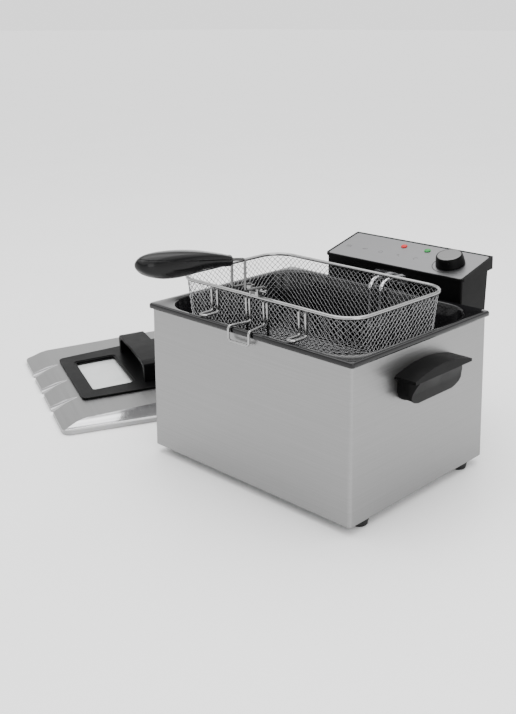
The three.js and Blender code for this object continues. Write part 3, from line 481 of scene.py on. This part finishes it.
RIM_X, RIM_Y, RIM_Z = 174.0, 138.0, 206.0
WELL_X, WELL_Y, WELL_R, WELL_FLOOR = 164.0, 128.0, 52.0, 62.0
WELL_LEAN = 0.03
FLOOR_ROUND = 14.0
skin = [
    (RIM_X - 0.3, RIM_Y - 0.3, 4.6, 199.7), (RIM_X, RIM_Y, 4.8, 201.0), (RIM_X, RIM_Y, 4.8, 204.0),
    (RIM_X - 0.5, RIM_Y - 0.5, 4.6, 205.3), (RIM_X - 1.8, RIM_Y - 1.8, 4.2, RIM_Z),
    (WELL_X + 2.4, WELL_Y + 2.4, WELL_R + 2.4, RIM_Z - 0.3),
    (WELL_X + 0.9, WELL_Y + 0.9, WELL_R + 0.9, RIM_Z - 0.8),
    (WELL_X, WELL_Y, WELL_R, RIM_Z - 2.4),
]


def well_ring(z, inset):
    lean = 1 - WELL_LEAN * (RIM_Z - z) / (RIM_Z - WELL_FLOOR)
    return (WELL_X * lean - inset, WELL_Y * lean - inset, WELL_R * lean - inset, z)


skin += [well_ring(150.0, 0.0), well_ring(100.0, 0.0)]
for step in range(7):
    turn = step / 6 * math.pi / 2
    inset = FLOOR_ROUND * (1 - math.cos(turn))
    skin.append(well_ring(WELL_FLOOR + FLOOR_ROUND * (1 - math.sin(turn)), inset))

bm = bmesh.new()
loops = [rounded_loop(bm, *ring) for ring in skin]
loft(bm, loops)
floor_face = bmesh.ops.contextual_create(bm, geom=loops[-1])["faces"]
bmesh.ops.recalc_face_normals(bm, faces=bm.faces)
if floor_face[0].normal.z < 0:
    bmesh.ops.reverse_faces(bm, faces=bm.faces)
pan = make_piece("pan_enamelled", bm, enamel, "pan", 50.0)
thickness = pan.modifiers.new("sheet", "SOLIDIFY")
thickness.thickness = 1.5 * MM
thickness.offset = -1
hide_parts("oil_pan")

# %% [markdown]
# Two short ribs inside the front wall show the lowest and highest oil. They are beads pressed
# into the wall, so each is a bar with all its edges rounded.

# %% Oil level ribs
LEVEL_HEIGHTS = (130.8, 168.8)
LEVEL_RIB = Vector((36, 4, 1.8))
bm = bmesh.new()
for height in LEVEL_HEIGHTS:
    bar = bmesh.ops.create_cube(bm, size=1.0)["verts"]
    bmesh.ops.scale(bm, vec=LEVEL_RIB * MM, verts=bar)
    wall = WELL_Y * (1 - WELL_LEAN * (RIM_Z - height) / (RIM_Z - WELL_FLOOR))
    bmesh.ops.translate(bm, vec=place(0, -wall + 0.6, height), verts=bar)
bmesh.ops.bevel(
    bm, geom=bm.edges[:], offset=0.7 * MM, segments=3, profile=0.5, affect="EDGES", material=-1,
)
make_piece("oil_level_ribs", bm, enamel, "pan")

# %% [markdown]
# ## The grip
# The grip is moulded in two halves that close over the handle's wires. It swells under the
# palm and dips where the fingers curl. A chain of cross-sections is easier to steer than a
# sculpted block: each has its own top, bottom, width and squareness, and a smooth curve through
# them fills in the rings between. It starts square-shouldered at the basket and ends round.

# %% Sections along the grip
SECTIONS = [
    # y, top, bottom, half width, squareness of the upper half
    (-160.0, 301.9, 291.0, 12.0, 3.2),
    (-160.7, 303.1, 289.9, 13.4, 3.4),
    (-163.0, 304.0, 289.4, 14.0, 3.6),
    (-178.0, 308.3, 291.2, 14.9, 3.8),
    (-202.0, 314.4, 292.4, 16.2, 3.4),
    (-230.0, 319.5, 290.0, 17.0, 2.7),
    (-254.0, 322.0, 291.8, 16.8, 2.4),
    (-270.0, 322.2, 296.0, 15.0, 2.2),
    (-280.0, 320.6, 300.4, 12.2, 2.1),
    (-286.0, 317.4, 305.4, 8.0, 2.0),
    (-288.0, 314.9, 308.9, 4.6, 2.0),
]
RINGS_BETWEEN = 6
RING_POINTS = 48


def glide(before, start, end, after, share):
    """A smooth curve through a run of numbers, from start to end."""
    pull_in, pull_out = (end - before) / 2, (after - start) / 2
    rise = end - start
    bend = pull_in + pull_out - 2 * rise
    return start + share * (pull_in + share * (3 * rise - 2 * pull_in - pull_out + share * bend))


def between(sections, i, share):
    last = len(sections) - 1
    chain = [sections[max(0, min(last, k))] for k in (i - 1, i, i + 1, i + 2)]
    return [glide(*numbers, share) for numbers in zip(*chain)]


def grip_ring(bm, y, top, bottom, half_width, square):
    ring = bmesh.ops.create_circle(bm, segments=RING_POINTS, radius=1.0)["verts"]
    middle, half_height = (top + bottom) / 2, (top - bottom) / 2
    for vert in ring:
        power = 2 / (square if vert.co.y > 0 else 2.3)
        x = math.copysign(abs(vert.co.x) ** power, vert.co.x)
        z = math.copysign(abs(vert.co.y) ** power, vert.co.y)
        vert.co = place(x * half_width, y, middle + z * half_height)
    return ring_edges(ring)


def whole_grip():
    bm = bmesh.new()
    rings = []
    for i in range(len(SECTIONS) - 1):
        for step in range(RINGS_BETWEEN):
            rings.append(grip_ring(bm, *between(SECTIONS, i, step / RINGS_BETWEEN)))
    rings.append(grip_ring(bm, *SECTIONS[-1]))
    loft(bm, rings)
    for end in (rings[0], rings[-1]):
        bmesh.ops.contextual_create(bm, geom=end)
    bmesh.ops.recalc_face_normals(bm, faces=bm.faces)
    return bm


print(len(SECTIONS), "sections,", RINGS_BETWEEN, "rings from each to the next")

# %% [markdown]
# The halves part along a sloping plane. Each is the whole grip cut by that plane and closed
# again, and the rim of the cut gets a small round, so that a fine dark line shows where they
# meet, as on any two-part handle.

# %% Part the grip in two
SEAM_Y, SEAM_Z, SEAM_SLOPE = -150.0, 297.2, 0.16
seam_normal = Vector((0, SEAM_SLOPE, 1)).normalized()
for name, node, side in (("grip_top_half", "grip_upper", 1), ("grip_under_half", "grip_lower", -1)):
    bm = whole_grip()
    parting = bmesh.ops.bisect_plane(
        bm, geom=bm.verts[:] + bm.edges[:] + bm.faces[:], dist=0.001 * MM,
        plane_co=place(0, SEAM_Y, SEAM_Z + side * 0.12), plane_no=seam_normal,
        clear_inner=side > 0, clear_outer=side < 0,
    )["geom_cut"]
    rim = [item for item in parting if isinstance(item, bmesh.types.BMEdge)]
    bmesh.ops.contextual_create(bm, geom=rim)
    bmesh.ops.bevel(
        bm, geom=rim, offset=0.45 * MM, segments=2, profile=0.5, affect="EDGES", material=-1,
    )
    bmesh.ops.recalc_face_normals(bm, faces=bm.faces)
    half = make_piece(name, bm, gloss_black, "basket_handle", 42.0)
    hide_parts(node)

# %% [markdown]
# ## Marks on the panel
# The panel is printed, and print is only a few hundredths of a millimetre thick. The marks are
# drawn flat in the panel's own plane and given that thickness, then laid on its slope together.
# They are plain signs for kinds of food and a curved line beside the knob.

# %% Print the panel
PANEL_Y, PANEL_Z, PANEL_TILT = 154.9, 233.2, math.radians(14.9)
KNOB_X, KNOB_S = 78.0, 33.0
INK_THICKNESS = 0.09
to_panel = (
    Matrix.Translation(place(0, PANEL_Y, PANEL_Z)) @ Matrix.Rotation(PANEL_TILT, 4, "X")
    @ Matrix.Scale(MM, 4)
)


def bar(bm, x, s, long, wide, turn=0.0):
    matrix = Matrix.Translation((x, s, 0)) @ Matrix.Rotation(math.radians(turn), 4, "Z")
    matrix = matrix @ Matrix.Diagonal((long, wide, 1, 1))
    bmesh.ops.create_grid(bm, x_segments=1, y_segments=1, size=0.5, matrix=matrix)


def disc(bm, x, s, long, wide, turn=0.0):
    matrix = Matrix.Translation((x, s, 0)) @ Matrix.Rotation(math.radians(turn), 4, "Z")
    matrix = matrix @ Matrix.Diagonal((long, wide, 1, 1))
    bmesh.ops.create_circle(bm, cap_ends=True, segments=20, radius=0.5, matrix=matrix)


def band(bm, x, s, radius, wide, start, sweep, steps=24):
    first = math.radians(start)
    ends = [
        bm.verts.new((x + r * math.cos(first), s + r * math.sin(first), 0))
        for r in (radius - wide / 2, radius + wide / 2)
    ]
    edge = bm.edges.new(ends)
    bmesh.ops.spin(
        bm, geom=ends + [edge], cent=(x, s, 0), axis=(0, 0, 1), angle=math.radians(sweep),
        steps=steps, use_merge=abs(sweep) == 360,
    )


def print_on_panel(name, bm, material):
    bmesh.ops.recalc_face_normals(bm, faces=bm.faces)
    for face in bm.faces:
        if face.normal.z < 0:
            face.normal_flip()
    top = bmesh.ops.extrude_face_region(bm, geom=bm.faces[:], use_keep_orig=True)["geom"]
    raised = [item for item in top if isinstance(item, bmesh.types.BMVert)]
    bmesh.ops.translate(bm, vec=(0, 0, INK_THICKNESS), verts=raised)
    bmesh.ops.recalc_face_normals(bm, faces=bm.faces)
    bmesh.ops.transform(bm, matrix=to_panel, verts=bm.verts)
    return make_piece(name, bm, material, "control_head", 30.0)


bm = bmesh.new()
MARK_S = 30.0
for i in range(4):
    bar(bm, -103.6 + 2.4 * i, MARK_S, 1.1, 6.5 - i % 2, 8.0)
disc(bm, -71.0, MARK_S, 6.4, 3.6, 15.0)
bar(bm, -66.6, MARK_S + 1.2, 2.6, 1.4, 60.0)
band(bm, -41.0, MARK_S, 2.9, 1.1, 0, 360, 20)
disc(bm, -10.4, MARK_S + 1.2, 4.2, 3.4, 40.0)
bar(bm, -7.6, MARK_S - 1.6, 4.0, 1.1, -45.0)
band(bm, 21.0, MARK_S, 2.8, 1.3, 40, 230, 14)
print_on_panel("panel_signs", bm, ink)

bm = bmesh.new()
band(bm, KNOB_X, KNOB_S, 25.2, 1.2, 150, 150, 36)
print_on_panel("knob_line", bm, dark_ink)

# %% [markdown]
# A small rib stands out of the knob's skirt and points at the printed line.

# %% Pointer rib on the knob
bm = bmesh.new()
rib = bmesh.ops.create_cube(bm, size=1.0)["verts"]
bmesh.ops.scale(bm, vec=(2.2, 1.5, 9.0), verts=rib)
bmesh.ops.bevel(
    bm, geom=bm.edges[:], offset=0.45, segments=3, profile=0.5, affect="EDGES", material=-1,
)
bmesh.ops.translate(bm, vec=(19.2, 0, 6.2), verts=bm.verts)
bmesh.ops.rotate(bm, matrix=Matrix.Rotation(math.radians(-62), 3, "Z"), verts=bm.verts)
bmesh.ops.translate(bm, vec=(KNOB_X, KNOB_S, 0), verts=bm.verts)
bmesh.ops.transform(bm, matrix=to_panel, verts=bm.verts)
make_piece("knob_pointer", bm, satin_black, "knob", 30.0)

# %% [markdown]
# ## The basket
# The basket is a deep tub of woven wire, laid on the bias so that the wires cross as diamonds.
# It could be a flat sheet with holes painted on it, but then it would have no thickness from
# above and no crossings. Real wires are not much dearer: each runs down the wall at a slant,
# passing over one neighbour and under the next.
#
# The shape of the tub is a rounded rectangle that narrows towards the floor. A point on the
# wall is found from how far it is round the rim and how far down, so a slanting wire is simply
# a straight line in those two numbers.

# %% Shape of the tub
TUB_HALF_X = 147.7
TUB_FRONT = -107.4
TUB_BACK = 79.4
TUB_CORNER = 30.2
TUB_TOP = 238.0
TUB_FLOOR = 136.8
TUB_TAPER = 0.068
TUB_FILLET = 9.0
TUB_MIDDLE = (TUB_FRONT + TUB_BACK) / 2
TUB_HALF_Y = (TUB_BACK - TUB_FRONT) / 2


def around(distance, half_x, half_y, radius):
    """The point and outward direction at a distance round a rounded rectangle."""
    sides = [2 * (half_y - radius), 2 * (half_x - radius)] * 2
    arc = radius * math.pi / 2
    distance %= sum(sides) + 4 * arc
    corners = [(half_x, -half_y), (half_x, half_y), (-half_x, half_y), (-half_x, -half_y)]
    for i, length in enumerate(sides):
        angle = i * math.pi / 2
        out = Vector((math.cos(angle), math.sin(angle)))
        along = Vector((-out.y, out.x))
        start = Vector(corners[i]) + along * radius
        if distance < length:
            return start + along * distance, out
        distance -= length
        if distance < arc:
            turn = distance / radius
            hub = start + along * length - out * radius
            direction = out * math.cos(turn) + along * math.sin(turn)
            return hub + direction * radius, direction
        distance -= arc
    return start, out


RIM_LENGTH = 4 * (TUB_HALF_X + TUB_HALF_Y) - 8 * TUB_CORNER + 2 * math.pi * TUB_CORNER


def wall_point(round_rim, down, bulge):
    straight = TUB_TOP - TUB_FLOOR - TUB_FILLET
    if down <= straight:
        depth, inset, tip = down, 0.0, 0.0
    else:
        tip = min((down - straight) / TUB_FILLET, math.pi / 2)
        depth = straight + TUB_FILLET * math.sin(tip)
        inset = TUB_FILLET * (1 - math.cos(tip))
    narrowing = 1 - TUB_TAPER * depth / (TUB_TOP - TUB_FLOOR)
    flat, out = around(round_rim, TUB_HALF_X, TUB_HALF_Y, TUB_CORNER)
    flat = flat * narrowing + out * (bulge * math.cos(tip) - inset)
    return place(flat.x, flat.y + TUB_MIDDLE, TUB_TOP - depth - bulge * math.sin(tip))


print("Rim is", round(RIM_LENGTH), "mm round")

# %% [markdown]
# The number of wires is chosen so that the weave closes neatly on itself after one turn round
# the basket. Where two wires cross, one sits half a wire outside the middle of the cloth and
# the other half a wire inside, and they change places at the next crossing.

# %% Weave the walls
MESH_PITCH = 8.0
MESH_WIRE = 0.4
wire_count = 2 * round(RIM_LENGTH / MESH_PITCH / 2)
step_round = RIM_LENGTH / wire_count
wall_length = TUB_TOP - TUB_FLOOR - TUB_FILLET + TUB_FILLET * math.pi / 2
crossings = round(2 * wall_length / step_round)
step_down = wall_length / crossings
runs = []
for lean in (1, -1):
    for first in range(wire_count):
        run = []
        for k in range(crossings + 1):
            over = 1 if (k + (lean > 0)) % 2 else -1
            round_rim = (first + lean * k / 2) * step_round
            run.append(wall_point(round_rim, k * step_down, over * MESH_WIRE * 0.9))
        runs.append(run)
print(wire_count, "wires each way,", crossings, "crossings on each")

# %% [markdown]
# The floor is the same cloth lying flat. Its wires are straight diagonals that end where they
# meet the curve of the wall, so each one is walked outwards in small steps until it leaves the
# rounded outline of the floor.

# %% Weave the floor
floor_scale = 1 - TUB_TAPER
FLOOR_X = TUB_HALF_X * floor_scale - TUB_FILLET
FLOOR_Y = TUB_HALF_Y * floor_scale - TUB_FILLET
FLOOR_R = TUB_CORNER * floor_scale - TUB_FILLET


def on_floor(x, y):
    past_x = max(abs(x) - (FLOOR_X - FLOOR_R), 0)
    past_y = max(abs(y) - (FLOOR_Y - FLOOR_R), 0)
    return math.hypot(past_x, past_y) <= FLOOR_R


half_pitch = MESH_PITCH / 2
reach = int((FLOOR_X + FLOOR_Y) / MESH_PITCH) + 2
for lean in (1, -1):
    for first in range(-reach, reach + 1):
        run = []
        for k in range(-2 * reach, 2 * reach + 1):
            x = first * MESH_PITCH + k * half_pitch
            y = lean * k * half_pitch
            if on_floor(x, y):
                over = 1 if (k + (lean > 0)) % 2 else -1
                run.append(place(x, y + TUB_MIDDLE, TUB_FLOOR + over * MESH_WIRE * 0.9))
        if len(run) > 1:
            runs.append(run)
woven = wires_to_mesh("woven", runs, MESH_WIRE * MM, 4)
basket_weave = make_piece("basket_weave", woven, woven_wire, "basket")
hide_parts("basket_mesh")

# %% [markdown]
# ## Camera, floor and light
# The camera stands at the front right corner, a little above the fryer, and looks slightly
# down. Its shift only frames the picture, so that upright edges stay nearly upright.

# %% Camera
camera_data = bpy.data.cameras.new("camera")
camera_data.lens = 50.13
camera_data.shift_x = -0.0501
camera_data.shift_y = -0.2109
camera_data.clip_start = 0.01
camera = bpy.data.objects.new("camera", camera_data)
bpy.context.scene.collection.objects.link(camera)
camera.location = place(824.9, -927.4, 567.5)
camera.rotation_euler = (math.radians(90 - 10.49), 0, math.radians(43.04))
bpy.context.scene.camera = camera

# %% Floor
FLOOR_SIZE = 60.0
floor_bm = bmesh.new()
bmesh.ops.create_grid(floor_bm, x_segments=1, y_segments=1, size=FLOOR_SIZE)
floor_mesh = bpy.data.meshes.new("floor")
floor_bm.to_mesh(floor_mesh)
floor_bm.free()
floor = bpy.data.objects.new("floor", floor_mesh)
floor.location.z = -0.0005
bpy.context.scene.collection.objects.link(floor)
floor_paint, floor_shader = new_finish("floor paper", (0.93, 0.93, 0.93), 0.0, 0.35)
paper = noise(floor_paint, stretched_coordinates(floor_paint, (1, 1, 1)), 3.0, 2.0)
tint(floor_paint, paper, floor_shader, (0.92, 0.92, 0.92), (0.94, 0.94, 0.94))
finish(floor, floor_paint)

# %% [markdown]
# Product light is broad and soft. The room is a white tent that is brightest overhead and a
# little dimmer part of the way down, and that gentle change is what draws shape on bright wire
# and dark gloss. A panel overhead puts the long highlight on the grip, and one from the right
# lifts the side of the casing.

# %% Light
world = bpy.data.worlds.new("white tent")
world.use_nodes = True
tent, tent_links = world.node_tree.nodes, world.node_tree.links
direction = tent.new("ShaderNodeTexCoord")
height = tent.new("ShaderNodeSeparateXYZ")
glow = tent.new("ShaderNodeValToRGB")
glow.color_ramp.interpolation = "EASE"
levels = [(0.0, 0.60), (0.22, 0.62), (0.44, 0.22), (0.68, 0.90), (1.0, 1.0)]
while len(glow.color_ramp.elements) < len(levels):
    glow.color_ramp.elements.new(0.5)
for stop, (position, level) in zip(glow.color_ramp.elements, levels):
    stop.position = position
    stop.color = (level, level, level, 1)
tent_links.new(direction.outputs["Generated"], height.inputs["Vector"])
tent_links.new(height.outputs["Z"], glow.inputs["Fac"])
tent_links.new(glow.outputs["Color"], tent["Background"].inputs["Color"])
tent["Background"].inputs["Strength"].default_value = 2.6
bpy.context.scene.world = world


def soft_panel(name, position, size, power):
    data = bpy.data.lights.new(name, "AREA")
    data.shape = "RECTANGLE"
    data.size, data.size_y = size
    data.energy = power
    light = bpy.data.objects.new(name, data)
    light.location = position
    aim = Vector((centre.x, centre.y, 0.12)) - light.location
    light.rotation_euler = aim.to_track_quat("-Z", "Y").to_euler()
    bpy.context.scene.collection.objects.link(light)


soft_panel("overhead panel", centre + Vector((-0.3, 0.2, 2.0)), (2.2, 1.6), 26)
soft_panel("right panel", centre + Vector((2.0, -0.6, 0.9)), (1.2, 1.4), 16)
print("Lights:", len(bpy.data.lights))
